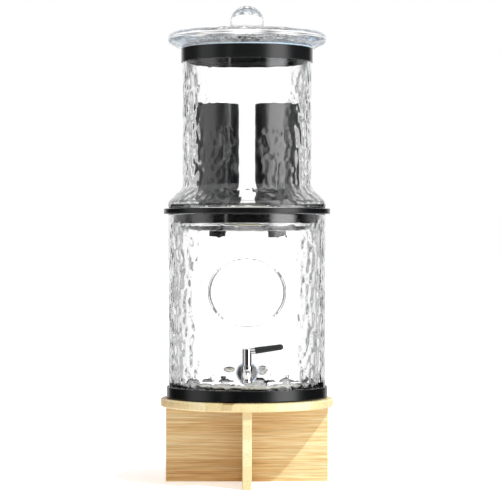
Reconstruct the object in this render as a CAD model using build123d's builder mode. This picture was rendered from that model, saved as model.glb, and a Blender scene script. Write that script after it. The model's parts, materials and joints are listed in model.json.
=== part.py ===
from build123d import *
import os
from math import atan2, cos, radians, sin, sqrt, tan

# Countertop gravity water filter: a glass filter chamber stands on a glass tank with a tap, and
# both stand on a bamboo cross stand.  Millimetres, +Z up.  The origin is on the common axis of the
# two vessels, on the surface that the stand stands on, and the tap faces -Y.  Every piece is made
# where it sits in the assembled filter, from the bottom upwards.

# ---------------------------------------------------------------------------------------------
# Fits
# ---------------------------------------------------------------------------------------------
running_gap = 0.08        # radial, turning and screwed pieces
hug_gap = 0.05            # radial, silicone stretched over glass, and glued or pressed plastics
joint_gap = 0.1           # each side, half-lap and groove in the bamboo
lift_gap = 0.5            # radial, pieces that are lifted apart by hand
end_gap = 0.3             # along the axis, pieces that turn past each other

# ---------------------------------------------------------------------------------------------
# Bamboo stand
# ---------------------------------------------------------------------------------------------
board_thickness = 13.0
board_end_round = 1.5
board_inset = 7.5         # the boards end this much inside the plate's edge
stand_clearance = 106.0   # height under the plate
groove_depth = 4.0        # the boards' tops sit in a cross groove in the plate
plate_margin = 8.55       # ledge of the plate round the boot
plate_thickness = 12.0
plate_edge_round = 3.0

# ---------------------------------------------------------------------------------------------
# Tank: silicone boot and glass jar
# ---------------------------------------------------------------------------------------------
boot_wall = 2.4
boot_floor = 2.0
boot_height = 16.5
boot_ring = 29.0          # width of the boot's floor under the jar
jar_radius = 111.0
jar_wall = 5.0
jar_height = 257.0
jar_base = 14.0
jar_heel_round = 6.0
jar_corner_round = 8.0
glass_rim_round = 2.0
jar_foot_ring = 25.0      # width of the ring that the jar stands on
punt_depth = 1.5          # shallow hollow inside that ring

ring_half_width = 53.0    # raised oval ring on the front of the jar
ring_half_height = 47.6
ring_bar = 2.6
ring_relief = 0.9
ring_height = 149.0       # centre of the ring above the jar's foot

# ---------------------------------------------------------------------------------------------
# Tap: distances out from the jar's axis, radii about the tap's own axes
# ---------------------------------------------------------------------------------------------
tap_height = 39.5         # axis of the tap above the jar's foot
shank_radius = 8.0
shank_hole_gap = 0.6
shank_tail = 3.0          # thread that shows behind the lock nut
washer_margin = 1.9       # the outer washer shows this much round the flange
outer_washer_thickness = 2.5
inner_washer_radius = 14.0
inner_washer_thickness = 3.0
lock_nut_flats = 24.0
lock_nut_thickness = 6.0
flange_radius = 12.7
flange_thickness = 2.5
flange_cone = 3.0
pipe_radius = 6.5
water_bore_radius = 3.5
valve_reach = 20.0        # from the jar's wall to the plug's axis
spout_reach = 39.0        # from the jar's wall to the outlet's axis
spout_bend = 8.0
spout_drop = 10.8         # from the tap's axis down to the outlet
spout_lip_height = 2.5
spout_lip = 0.8

plug_radius = 5.2
plug_half_height = 6.0
plug_bore_radius = 3.3
socket_wall = 2.2
socket_floor = 2.0
stem_radius = 3.0
stem_drive = 4.4          # square end of the stem, across its flats
stem_drive_height = 8.0
oring_section = 0.7       # radius of the rubber cord
oring_offset = 4.85       # above and below the plug's cross bore
bonnet_spigot = 3.0
bonnet_flange = 1.0

barrel_radius = 6.2
barrel_height = 23.0
arm_radius = 3.9
arm_rise = 8.0            # degrees above level
grip_start = 11.0
tongue_radius = 1.9
tongue_length = 24.0
grip_root_radius = 4.4
grip_tip_radius = 3.9
grip_length = 38.5
lever_edge_round = 0.5
screw_radius = 1.5
screw_head_radius = 2.9
screw_head_height = 1.5
screw_length = 11.0
screw_land = 1.0          # of the lever, between the screw's head and the stem

# ---------------------------------------------------------------------------------------------
# Filter chamber: collar, glass vessel and rim band
# ---------------------------------------------------------------------------------------------
collar_thickness = 7.3
collar_overhang = 6.3     # outside the jar
skirt_gap = 3.05          # from the jar's inside to the skirt
skirt_wall = 3.0
skirt_depth = 13.4
collar_edge_round = 0.8

floor_drop = 31.8         # the stepped floor drops this far below the foot, into the tank
floor_edge_round = 9.0
vessel_floor = 8.0
vessel_wall = 5.0
vessel_height = 223.7     # from the foot to the rim
foot_inset = 5.6          # ledge of the collar round the foot
foot_round = 4.0
shoulder_width = 20.6     # from the foot in to the straight wall
knee_height = 9.5         # outside corner of the shoulder above the foot
shoulder_height = 29.4    # where the shoulder runs into the straight wall
shoulder_round = 12.0
step_wall = 7.5           # glass round the stepped floor
foot_ledge = 4.0          # glass over the collar
pocket_corner_round = 1.6 # inside the foot
pocket_knee_round = 4.0
floor_corner_round = 7.0

band_wall = 1.6
band_top = 2.0
band_outer_drop = 17.2
band_inner_drop = 9.0

# ---------------------------------------------------------------------------------------------
# Filter elements
# ---------------------------------------------------------------------------------------------
element_radius = 30.0
element_spacing = 22.8    # between the two elements
element_shell_height = 162.0
shell_wall = 2.6
shell_end = 3.0
shell_end_round = 1.5
core_gap = 5.9            # radial, water space round the carbon core
core_bore_radius = 6.0
core_clearance = 36.0     # empty length between the cap's floor and the core
cap_lip = 2.2
cap_height = 13.0
cap_floor = 4.0
element_stem_radius = 5.3
element_stem_length = 20.6
outlet_radius = 2.6
washer_radius = 19.2
washer_thickness = 5.5
washer_chamfer = 1.6
stem_hole_gap = 1.0
nut_washer_radius = 12.4
nut_washer_thickness = 1.6
nut_washer_gap = 0.4      # radial, round the stem
wing_span = 26.0
wing_thickness = 5.0
nut_hub_radius = 8.6
nut_height = 6.3
nut_edge_round = 0.8

# ---------------------------------------------------------------------------------------------
# Lid
# ---------------------------------------------------------------------------------------------
lid_seat_margin = 6.25    # flat of the underside round the rim band
lid_overhang = 12.3       # from that flat out to the rim
lid_under_rise = 6.5      # the underside climbs this much on the way
lid_rim_height = 12.0     # straight part and rounds of the rim
lid_crest_inset = 7.3     # from the rim in to the crest
lid_crest_height = 21.1   # above the seat
lid_dish_slope = 12.0     # from the crest in to the dish round the knob
lid_dish_height = 16.5
lid_rim_round = 6.0
lid_plug_depth = 6.0
lid_plug_wall = 8.4
lid_plate = 7.0
knob_radius = 24.0
knob_sink = 5.2           # how far the ball is let into the plate
knob_neck_round = 4.0
seal_thickness = 1.5
seal_inset = 1.15         # the seal ends this much inside the rim band
seal_skirt_depth = 4.0

# ---------------------------------------------------------------------------------------------
# Levels and radii that follow from the sizes above
# ---------------------------------------------------------------------------------------------
boot_inner_radius = jar_radius + hug_gap
boot_radius = boot_inner_radius + boot_wall
boot_opening_radius = jar_radius - boot_ring
plate_radius = boot_radius + plate_margin
board_length = 2 * (plate_radius - board_inset)
board_height = stand_clearance + groove_depth
lap_level = board_height / 2
plate_level = stand_clearance
boot_level = plate_level + plate_thickness
jar_level = boot_level + boot_floor
jar_top = jar_level + jar_height
jar_inner_radius = jar_radius - jar_wall
punt_radius = jar_radius - jar_foot_ring
tap_level = jar_level + tap_height
ring_level = jar_level + ring_height

skirt_radius = jar_inner_radius - skirt_gap
collar_inner_radius = skirt_radius - skirt_wall
collar_radius = jar_radius + collar_overhang
foot_level = jar_top + collar_thickness
step_level = foot_level - floor_drop
floor_level = step_level + vessel_floor
rim_level = foot_level + vessel_height
floor_step_radius = collar_inner_radius - hug_gap
foot_radius = collar_radius - foot_inset
vessel_radius = foot_radius - shoulder_width
vessel_inner_radius = vessel_radius - vessel_wall
band_level = rim_level + band_top
band_radius = vessel_radius + hug_gap + band_wall
band_inner_radius = vessel_inner_radius - hug_gap - band_wall

lid_level = band_level + seal_thickness
seal_skirt_radius = band_inner_radius - lift_gap
seal_flange_radius = band_radius - seal_inset
lid_plug_radius = seal_skirt_radius - seal_thickness - hug_gap
lid_seat_radius = band_radius + lid_seat_margin
lid_radius = lid_seat_radius + lid_overhang
lid_crest_radius = lid_radius - lid_crest_inset
lid_dish_radius = lid_crest_radius - lid_dish_slope

element_offset = element_radius + element_spacing / 2
stem_hole_radius = element_stem_radius + stem_hole_gap
cap_level = floor_level + washer_thickness
shell_level = cap_level + cap_floor
stem_end_level = cap_level - element_stem_length

outer_washer_radius = flange_radius + washer_margin
flange_face = jar_radius + outer_washer_thickness
lock_nut_face = jar_inner_radius - inner_washer_thickness
shank_end = lock_nut_face - lock_nut_thickness - shank_tail
valve_out = jar_radius + valve_reach
spout_out = jar_radius + spout_reach
socket_radius = plug_radius + running_gap + socket_wall
socket_bottom = tap_level - plug_half_height - end_gap - socket_floor
socket_top = tap_level + plug_half_height + end_gap + bonnet_spigot
bonnet_top = socket_top + bonnet_flange
barrel_bottom = bonnet_top + end_gap
barrel_top = barrel_bottom + barrel_height
stem_top = barrel_top - arm_radius - screw_head_height - screw_land
bonnet_spigot_radius = plug_radius + socket_wall / 2

tap_axis = Axis((0, 0, tap_level), (0, -1, 0))
valve_axis = Axis((0, -valve_out, 0), (0, 0, 1))
tap_section = Plane(origin=(0, 0, tap_level), x_dir=(0, -1, 0), z_dir=(-1, 0, 0))
valve_section = Plane(origin=(0, -valve_out, 0), x_dir=(1, 0, 0), z_dir=(0, -1, 0))
arm_direction = (cos(radians(arm_rise)), 0, sin(radians(arm_rise)))
arm_section = Plane(origin=(0, -valve_out, barrel_top - arm_radius), x_dir=arm_direction, z_dir=(0, -1, 0))
arm_axis = Axis(arm_section.origin, arm_section.x_dir)


def front(distance):
    """Plane facing the front, at a distance from the vessels' axis."""
    return Plane.XZ.offset(distance)


def level(height, x=0, y=0):
    """Level plane with its origin above the point x, y."""
    return Plane(origin=(x, y, height))


def circles(piece, radius):
    """Round edges of a piece that have the radius."""
    return piece.edges().filter_by(GeomType.CIRCLE).filter_by(lambda edge: abs(edge.radius - radius) < 0.001)


# ---------------------------------------------------------------------------------------------
# Stand
# ---------------------------------------------------------------------------------------------
def cross_board(section, slot_from, slot_to):
    """Board standing on edge with a half-lap slot between two heights."""
    with BuildPart() as board:
        with BuildSketch(section):
            with Locations((0, board_height / 2)):
                Rectangle(board_length, board_height)
            with Locations((0, (slot_from + slot_to) / 2)):
                Rectangle(board_thickness + 2 * joint_gap, slot_to - slot_from, mode=Mode.SUBTRACT)
        extrude(amount=board_thickness / 2, both=True)
        ends = board.faces().sort_by(Axis(section.origin, section.x_dir))
        fillet((ends[0].edges() + ends[-1].edges()).filter_by(Axis.Z), board_end_round)
    return board


cross_board_side = cross_board(Plane.XZ, lap_level, board_height)
cross_board_front = cross_board(Plane.YZ, 0, lap_level)

with BuildPart() as stand_plate:
    with BuildSketch(level(plate_level)):
        Circle(plate_radius)
    extrude(amount=plate_thickness)
    fillet(stand_plate.edges().filter_by(GeomType.CIRCLE), plate_edge_round)
    with BuildSketch(level(plate_level)):
        Rectangle(board_length + 2 * joint_gap, board_thickness + 2 * joint_gap)
        Rectangle(board_thickness + 2 * joint_gap, board_length + 2 * joint_gap)
    extrude(amount=groove_depth, mode=Mode.SUBTRACT)

# ---------------------------------------------------------------------------------------------
# Boot and jar
# ---------------------------------------------------------------------------------------------
boot_top = boot_level + boot_height
boot_edge_round = boot_wall / 3

with BuildPart() as base_boot:
    with BuildSketch(Plane.XZ):
        with BuildLine():
            FilletPolyline(
                (boot_opening_radius, boot_level),
                (boot_radius, boot_level),
                (boot_radius, boot_top),
                (boot_inner_radius, boot_top),
                (boot_inner_radius, jar_level),
                (boot_opening_radius, jar_level),
                radius=(0, boot_floor, boot_edge_round, boot_edge_round, jar_heel_round, 0),
                close=True,
            )
        make_face()
    revolve(axis=Axis.Z)

with BuildPart() as raised_ring:
    with BuildSketch(front(jar_inner_radius - ring_half_width / 2)):
        with Locations((0, ring_level)):
            Ellipse(ring_half_width, ring_half_height)
            Ellipse(ring_half_width - ring_bar, ring_half_height - ring_bar, mode=Mode.SUBTRACT)
    extrude(amount=jar_radius)
    with Locations((0, 0, ring_level)):
        Cylinder(jar_radius + ring_relief, jar_height, mode=Mode.INTERSECT)
        Cylinder(jar_radius - jar_wall / 2, jar_height, mode=Mode.SUBTRACT)

with BuildPart() as lower_jar:
    with BuildSketch(Plane.XZ):
        with BuildLine():
            FilletPolyline(
                (0, jar_level + punt_depth),
                (punt_radius, jar_level + punt_depth),
                (punt_radius + punt_depth, jar_level),
                (jar_radius, jar_level),
                (jar_radius, jar_top),
                (jar_inner_radius, jar_top),
                (jar_inner_radius, jar_level + jar_base),
                (0, jar_level + jar_base),
                radius=(0, 0, 0, jar_heel_round, glass_rim_round, glass_rim_round, jar_corner_round, 0),
                close=True,
            )
        make_face()
    revolve(axis=Axis.Z)
    add(raised_ring.part)
    with BuildSketch(front(jar_inner_radius - jar_wall)):
        with Locations((0, tap_level)):
            Circle(shank_radius + shank_hole_gap)
    extrude(amount=3 * jar_wall, mode=Mode.SUBTRACT)

# ---------------------------------------------------------------------------------------------
# Tap, from the outside washer to the lock nut inside the tank
# ---------------------------------------------------------------------------------------------
with BuildPart() as tap_outer_washer:
    with BuildSketch(front(jar_inner_radius)):
        with Locations((0, tap_level)):
            Circle(outer_washer_radius)
            Circle(shank_radius + hug_gap, mode=Mode.SUBTRACT)
    extrude(amount=flange_face - jar_inner_radius)
    with Locations((0, 0, tap_level)):
        Cylinder(jar_radius + hug_gap, 4 * outer_washer_radius, mode=Mode.SUBTRACT)

with BuildPart() as tap_inner_washer:
    with BuildSketch(front(lock_nut_face)):
        with Locations((0, tap_level)):
            Circle(inner_washer_radius)
            Circle(shank_radius + hug_gap, mode=Mode.SUBTRACT)
    extrude(amount=inner_washer_thickness)
    with Locations((0, 0, tap_level)):
        Cylinder(jar_inner_radius - hug_gap, 4 * inner_washer_radius, mode=Mode.INTERSECT)

with BuildPart() as tap_lock_nut:
    with BuildSketch(front(lock_nut_face - lock_nut_thickness)):
        with Locations((0, tap_level)):
            RegularPolygon(lock_nut_flats / 2, 6, major_radius=False)
            Circle(shank_radius + running_gap, mode=Mode.SUBTRACT)
    extrude(amount=lock_nut_thickness)

with BuildPart() as tap_body:
    with BuildSketch(tap_section):
        with BuildLine():
            Polyline(
                (shank_end, 0),
                (shank_end, shank_radius),
                (flange_face, shank_radius),
                (flange_face, flange_radius),
                (flange_face + flange_thickness, flange_radius),
                (flange_face + flange_thickness + flange_cone, pipe_radius),
                (valve_out, pipe_radius),
                (valve_out, 0),
                close=True,
            )
        make_face()
    revolve(axis=tap_axis)
    fillet(circles(tap_body, flange_radius), lever_edge_round)
    # socket for the plug
    with BuildSketch(level(socket_bottom, y=-valve_out)):
        Circle(socket_radius)
    extrude(amount=socket_top - socket_bottom)
    # elbow spout with a lip at the outlet
    with BuildLine(tap_section) as spout_line:
        FilletPolyline((valve_out, 0), (spout_out, 0), (spout_out, -spout_drop), radius=spout_bend)
    with BuildSketch(front(valve_out)):
        with Locations((0, tap_level)):
            Circle(pipe_radius)
    sweep(path=spout_line.line)
    with BuildSketch(level(tap_level - spout_drop, y=-spout_out)):
        Circle(pipe_radius + spout_lip)
    extrude(amount=spout_lip_height)
    fillet(circles(tap_body, pipe_radius + spout_lip), lever_edge_round)
    # water way through the shank and out of the spout
    with BuildSketch(front(shank_end)):
        with Locations((0, tap_level)):
            Circle(water_bore_radius)
    extrude(amount=valve_out - shank_end, mode=Mode.SUBTRACT)
    with BuildSketch(front(valve_out)):
        with Locations((0, tap_level)):
            Circle(water_bore_radius)
    sweep(path=spout_line.line, mode=Mode.SUBTRACT)
    # bore for the plug, and above it the seat of the bonnet
    with BuildSketch(level(socket_bottom + socket_floor, y=-valve_out)):
        Circle(plug_radius + running_gap)
    extrude(amount=socket_top, mode=Mode.SUBTRACT)
    with BuildSketch(level(socket_top - bonnet_spigot, y=-valve_out)):
        Circle(bonnet_spigot_radius)
    extrude(amount=socket_top, mode=Mode.SUBTRACT)

with BuildPart() as tap_plug:
    with BuildSketch(level(tap_level - plug_half_height, y=-valve_out)):
        Circle(plug_radius)
    extrude(amount=2 * plug_half_height)
    with BuildSketch(level(tap_level + plug_half_height, y=-valve_out)):
        Circle(stem_radius)
    extrude(amount=stem_top - stem_drive_height - tap_level - plug_half_height)
    with BuildSketch(level(stem_top - stem_drive_height, y=-valve_out)):
        Rectangle(stem_drive, stem_drive)
    extrude(amount=stem_drive_height)
    # cross bore, shut while the lever points sideways
    with BuildSketch(Plane.YZ):
        with Locations((-valve_out, tap_level)):
            Circle(plug_bore_radius)
    extrude(amount=2 * plug_radius, both=True, mode=Mode.SUBTRACT)
    # grooves for the two O-rings
    with BuildSketch(valve_section):
        with Locations((plug_radius, tap_level - oring_offset), (plug_radius, tap_level + oring_offset)):
            Rectangle(4 * oring_section, 2 * oring_section + 2 * hug_gap)
    revolve(axis=valve_axis, mode=Mode.SUBTRACT)
    # thread hole for the lever's screw
    with BuildSketch(level(stem_top, y=-valve_out)):
        Circle(screw_radius + hug_gap)
    extrude(amount=-screw_length, mode=Mode.SUBTRACT)

with BuildPart() as tap_orings:
    with BuildSketch(valve_section):
        for height in (tap_level - oring_offset, tap_level + oring_offset):
            with Locations((plug_radius - oring_section, height)):
                Circle(oring_section)
    revolve(axis=valve_axis)

with BuildPart() as tap_bonnet:
    with BuildSketch(level(socket_top - bonnet_spigot, y=-valve_out)):
        Circle(bonnet_spigot_radius - hug_gap)
    extrude(amount=bonnet_spigot)
    with BuildSketch(level(socket_top, y=-valve_out)):
        Circle(socket_radius - hug_gap)
    extrude(amount=bonnet_flange)
    with BuildSketch(level(socket_top - bonnet_spigot, y=-valve_out)):
        Circle(stem_radius + running_gap)
    extrude(amount=bonnet_spigot + bonnet_flange, mode=Mode.SUBTRACT)

with BuildPart() as tap_lever:
    with BuildSketch(level(barrel_bottom, y=-valve_out)):
        Circle(barrel_radius)
    extrude(amount=barrel_height)
    fillet(tap_lever.edges().filter_by(GeomType.CIRCLE), lever_edge_round)
    # round arm, and a thinner tongue inside the grip
    with BuildSketch(arm_section):
        with BuildLine():
            Polyline(
                (0, 0),
                (0, arm_radius),
                (grip_start, arm_radius),
                (grip_start, tongue_radius),
                (grip_start + tongue_length, tongue_radius),
                (grip_start + tongue_length, 0),
                close=True,
            )
        make_face()
    revolve(axis=arm_axis)
    # round bore below, square socket above, and the countersunk screw hole
    with BuildSketch(level(barrel_bottom, y=-valve_out)):
        Circle(stem_radius + hug_gap)
    extrude(amount=stem_top - stem_drive_height - barrel_bottom, mode=Mode.SUBTRACT)
    with BuildSketch(level(stem_top - stem_drive_height, y=-valve_out)):
        Rectangle(stem_drive + 2 * hug_gap, stem_drive + 2 * hug_gap)
    extrude(amount=stem_drive_height, mode=Mode.SUBTRACT)
    with Locations(level(barrel_top, y=-valve_out)):
        CounterSinkHole(screw_radius + hug_gap, screw_head_radius + hug_gap, barrel_top - stem_top)

with BuildPart() as tap_grip:
    with BuildSketch(arm_section):
        with BuildLine():
            FilletPolyline(
                (grip_start, 0),
                (grip_start, grip_root_radius),
                (grip_start + grip_length, grip_tip_radius),
                (grip_start + grip_length, 0),
                radius=(0, lever_edge_round, 0.9 * grip_tip_radius, 0),
                close=True,
            )
        make_face()
        with Locations((grip_start + tongue_length / 2, 0)):
            Rectangle(tongue_length + 2 * hug_gap, 2 * (tongue_radius + hug_gap), mode=Mode.SUBTRACT)
    revolve(axis=arm_axis)

with BuildPart() as tap_lever_screw:
    with BuildSketch(valve_section):
        with BuildLine():
            Polyline(
                (0, barrel_top),
                (screw_head_radius, barrel_top),
                (screw_radius, barrel_top - screw_head_height),
                (screw_radius, barrel_top - screw_length),
                (0, barrel_top - screw_length),
                close=True,
            )
        make_face()
    revolve(axis=valve_axis)

# ---------------------------------------------------------------------------------------------
# Collar between the vessels, upper vessel and rim band
# ---------------------------------------------------------------------------------------------
with BuildPart() as divider_collar:
    with BuildSketch(Plane.XZ):
        with BuildLine():
            FilletPolyline(
                (collar_inner_radius, jar_top - skirt_depth),
                (skirt_radius, jar_top - skirt_depth),
                (skirt_radius, jar_top),
                (collar_radius, jar_top),
                (collar_radius, foot_level),
                (collar_inner_radius, foot_level),
                radius=(0, collar_edge_round, 0, collar_edge_round, collar_edge_round, 0),
                close=True,
            )
        make_face()
    revolve(axis=Axis.Z)

pocket_radius = foot_radius - vessel_wall
step_inner_radius = floor_step_radius - step_wall
# the inside's bends lie lower than the outside's by this much where the wall keeps its thickness
bend_drop = vessel_wall * tan(atan2(shoulder_width, shoulder_height - knee_height) / 2)

with BuildPart() as upper_vessel:
    # outside: stepped floor, foot, shoulder and straight wall
    with BuildSketch(Plane.XZ):
        with BuildLine():
            FilletPolyline(
                (0, step_level),
                (floor_step_radius, step_level),
                (floor_step_radius, foot_level),
                (foot_radius, foot_level),
                (foot_radius, foot_level + knee_height),
                (vessel_radius, foot_level + shoulder_height),
                (vessel_radius, rim_level),
                (0, rim_level),
                radius=(0, floor_edge_round, 0, foot_round, shoulder_round, shoulder_round, glass_rim_round, 0),
                close=True,
            )
        make_face()
    revolve(axis=Axis.Z)
    # inside, following the outside at the wall's thickness
    with BuildSketch(Plane.XZ):
        with BuildLine():
            FilletPolyline(
                (0, floor_level),
                (step_inner_radius, floor_level),
                (step_inner_radius, foot_level + foot_ledge),
                (pocket_radius, foot_level + foot_ledge),
                (pocket_radius, foot_level + knee_height - bend_drop),
                (vessel_inner_radius, foot_level + shoulder_height - bend_drop),
                (vessel_inner_radius, rim_level),
                (0, rim_level),
                radius=(
                    0,
                    floor_corner_round,
                    pocket_corner_round,
                    pocket_corner_round,
                    pocket_knee_round,
                    shoulder_round + vessel_wall,
                    0,
                    0,
                ),
                close=True,
            )
        make_face()
    revolve(axis=Axis.Z, mode=Mode.SUBTRACT)
    fillet(upper_vessel.edges().filter_by(GeomType.CIRCLE).group_by(Axis.Z)[-1], glass_rim_round)
    # holes for the elements' stems
    for stem_x in (-element_offset, element_offset):
        with BuildSketch(level(floor_level, x=stem_x)):
            Circle(stem_hole_radius)
        extrude(amount=-vessel_floor, mode=Mode.SUBTRACT)

with BuildPart() as rim_band:
    with BuildSketch(Plane.XZ):
        with BuildLine():
            FilletPolyline(
                (band_radius, band_level - band_top - band_outer_drop),
                (band_radius, band_level),
                (band_inner_radius, band_level),
                (band_inner_radius, rim_level - band_inner_drop),
                (vessel_inner_radius - hug_gap, rim_level - band_inner_drop),
                (vessel_inner_radius - hug_gap, rim_level),
                (vessel_radius + hug_gap, rim_level),
                (vessel_radius + hug_gap, band_level - band_top - band_outer_drop),
                radius=(0, band_wall / 2, band_wall / 2, 0, 0, glass_rim_round, glass_rim_round, 0),
                close=True,
            )
        make_face()
    revolve(axis=Axis.Z)

# ---------------------------------------------------------------------------------------------
# Filter elements with their washers and nuts, left and right
# ---------------------------------------------------------------------------------------------
element_pieces = {}

for side, element_x in (("left", -element_offset), ("right", element_offset)):
    element_section = Plane(origin=(element_x, 0, 0), x_dir=(1, 0, 0), z_dir=(0, -1, 0))
    element_axis = Axis((element_x, 0, 0), (0, 0, 1))
    shell_top = shell_level + element_shell_height
    shell_inner_radius = element_radius - shell_wall

    with BuildPart() as element_shell:
        with BuildSketch(element_section):
            with BuildLine():
                FilletPolyline(
                    (0, shell_top),
                    (element_radius, shell_top),
                    (element_radius, shell_level),
                    (shell_inner_radius, shell_level),
                    (shell_inner_radius, shell_top - shell_end),
                    (0, shell_top - shell_end),
                    radius=(0, shell_end_round, 0, 0, 0, 0),
                    close=True,
                )
            make_face()
        revolve(axis=element_axis)

    with BuildPart() as element_core:
        with BuildSketch(level(shell_level + core_clearance, x=element_x)):
            Circle(shell_inner_radius - core_gap)
            Circle(core_bore_radius, mode=Mode.SUBTRACT)
        extrude(amount=element_shell_height - shell_end - core_clearance)

    with BuildPart() as element_cap:
        with BuildSketch(element_section):
            with BuildLine():
                FilletPolyline(
                    (outlet_radius, stem_end_level),
                    (element_stem_radius, stem_end_level),
                    (element_stem_radius, cap_level),
                    (element_radius + cap_lip, cap_level),
                    (element_radius + cap_lip, cap_level + cap_height),
                    (element_radius + hug_gap, cap_level + cap_height),
                    (element_radius + hug_gap, shell_level),
                    (outlet_radius, shell_level),
                    radius=(0, nut_edge_round, 0, nut_edge_round, nut_edge_round, 0, 0, 0),
                    close=True,
                )
            make_face()
        revolve(axis=element_axis)

    with BuildPart() as element_washer:
        with BuildSketch(level(floor_level, x=element_x)):
            Circle(washer_radius)
            Circle(element_stem_radius + hug_gap, mode=Mode.SUBTRACT)
        extrude(amount=washer_thickness)
        chamfer(element_washer.edges().group_by(Axis.Z)[0].sort_by(SortBy.RADIUS)[-1], washer_chamfer)

    with BuildPart() as nut_washer:
        with BuildSketch(level(step_level, x=element_x)):
            Circle(nut_washer_radius)
            Circle(element_stem_radius + nut_washer_gap, mode=Mode.SUBTRACT)
        extrude(amount=-nut_washer_thickness)

    with BuildPart() as wing_nut:
        with BuildSketch(level(step_level - nut_washer_thickness, x=element_x)):
            Circle(nut_hub_radius)
            SlotOverall(wing_span, wing_thickness)
        extrude(amount=-nut_height)
        fillet(wing_nut.edges().group_by(Axis.Z)[0], nut_edge_round)
        with BuildSketch(level(step_level - nut_washer_thickness, x=element_x)):
            Circle(element_stem_radius + running_gap)
        extrude(amount=-nut_height, mode=Mode.SUBTRACT)

    element_pieces[side + "_element_shell"] = element_shell
    element_pieces[side + "_element_core"] = element_core
    element_pieces[side + "_element_cap"] = element_cap
    element_pieces[side + "_element_washer"] = element_washer
    element_pieces[side + "_nut_washer"] = nut_washer
    element_pieces[side + "_wing_nut"] = wing_nut

# ---------------------------------------------------------------------------------------------
# Lid with its ball knob, and the seal under it
# ---------------------------------------------------------------------------------------------
lid_dish_level = lid_level + lid_dish_height
knob_level = lid_dish_level + knob_radius - knob_sink

with BuildPart() as lid:
    with BuildSketch(Plane.XZ):
        with BuildLine():
            FilletPolyline(
                (0, lid_dish_level - lid_plate),
                (lid_plug_radius - lid_plug_wall, lid_dish_level - lid_plate),
                (lid_plug_radius - lid_plug_wall, lid_level - lid_plug_depth),
                (lid_plug_radius, lid_level - lid_plug_depth),
                (lid_plug_radius, lid_level),
                (lid_seat_radius, lid_level),
                (lid_radius, lid_level + lid_under_rise),
                (lid_radius, lid_level + lid_under_rise + lid_rim_height),
                (lid_crest_radius, lid_level + lid_crest_height),
                (lid_dish_radius, lid_dish_level),
                (0, lid_dish_level),
                radius=(
                    0, glass_rim_round, glass_rim_round, glass_rim_round, 0, glass_rim_round,
                    lid_rim_round, lid_rim_round, lid_rim_round / 2, lid_rim_round, 0,
                ),
                close=True,
            )
        make_face()
    revolve(axis=Axis.Z)
    with Locations((0, 0, knob_level)):
        Sphere(knob_radius)
    # the ball is trimmed where it would show through the underside of the plate
    with BuildSketch(level(lid_dish_level - lid_plate)):
        Circle(knob_radius)
    extrude(amount=-knob_radius, mode=Mode.SUBTRACT)
    neck_radius = sqrt(knob_radius**2 - (knob_radius - knob_sink) ** 2)
    fillet(circles(lid, neck_radius), knob_neck_round)

with BuildPart() as lid_seal:
    with BuildSketch(Plane.XZ):
        with BuildLine():
            Polyline(
                (lid_plug_radius + hug_gap, lid_level),
                (seal_flange_radius, lid_level),
                (seal_flange_radius, band_level),
                (seal_skirt_radius, band_level),
                (seal_skirt_radius, band_level - seal_skirt_depth),
                (lid_plug_radius + hug_gap, band_level - seal_skirt_depth),
                close=True,
            )
        make_face()
    revolve(axis=Axis.Z)

# ---------------------------------------------------------------------------------------------
# Export, one file for each piece
# ---------------------------------------------------------------------------------------------
pieces = {
    "stand_plate": stand_plate,
    "cross_board_side": cross_board_side,
    "cross_board_front": cross_board_front,
    "base_boot": base_boot,
    "lower_jar": lower_jar,
    "tap_outer_washer": tap_outer_washer,
    "tap_inner_washer": tap_inner_washer,
    "tap_lock_nut": tap_lock_nut,
    "tap_body": tap_body,
    "tap_plug": tap_plug,
    "tap_orings": tap_orings,
    "tap_bonnet": tap_bonnet,
    "tap_lever": tap_lever,
    "tap_grip": tap_grip,
    "tap_lever_screw": tap_lever_screw,
    "divider_collar": divider_collar,
    "upper_vessel": upper_vessel,
    "rim_band": rim_band,
    "lid": lid,
    "lid_seal": lid_seal,
    **element_pieces,
}

os.makedirs("parts", exist_ok=True)
for name, piece in pieces.items():
    piece.part.label = name
    export_step(piece.part, f"parts/{name}.step")
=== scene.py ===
import json
import math

import bpy
import numpy as np
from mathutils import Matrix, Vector


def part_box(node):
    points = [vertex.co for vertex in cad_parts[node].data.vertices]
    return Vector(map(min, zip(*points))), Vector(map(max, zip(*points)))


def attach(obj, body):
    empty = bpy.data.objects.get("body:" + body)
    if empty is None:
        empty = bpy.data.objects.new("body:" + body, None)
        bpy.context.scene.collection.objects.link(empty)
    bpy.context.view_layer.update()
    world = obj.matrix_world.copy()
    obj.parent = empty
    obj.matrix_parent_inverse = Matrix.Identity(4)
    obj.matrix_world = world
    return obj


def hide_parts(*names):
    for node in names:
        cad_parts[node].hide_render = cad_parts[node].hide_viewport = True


# The dressed gravity water filter: hammered glass vessels and lid, black silicone seals, moulded
# elements, a polished tap and a bamboo stand.  Lengths are in millimetres, as in the part's
# source, and become metres when a mesh or a node takes them.

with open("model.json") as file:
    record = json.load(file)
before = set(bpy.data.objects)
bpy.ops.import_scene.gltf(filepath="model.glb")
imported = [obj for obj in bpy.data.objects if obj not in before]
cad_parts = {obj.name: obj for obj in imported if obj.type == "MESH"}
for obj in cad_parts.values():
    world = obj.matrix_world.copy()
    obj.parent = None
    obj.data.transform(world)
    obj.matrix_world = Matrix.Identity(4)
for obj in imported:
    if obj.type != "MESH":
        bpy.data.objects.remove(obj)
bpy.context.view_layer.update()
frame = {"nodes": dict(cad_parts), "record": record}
nodes = frame["nodes"]
scene = bpy.context.scene

MM = 0.001
X, Y, Z = 0, 1, 2

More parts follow.
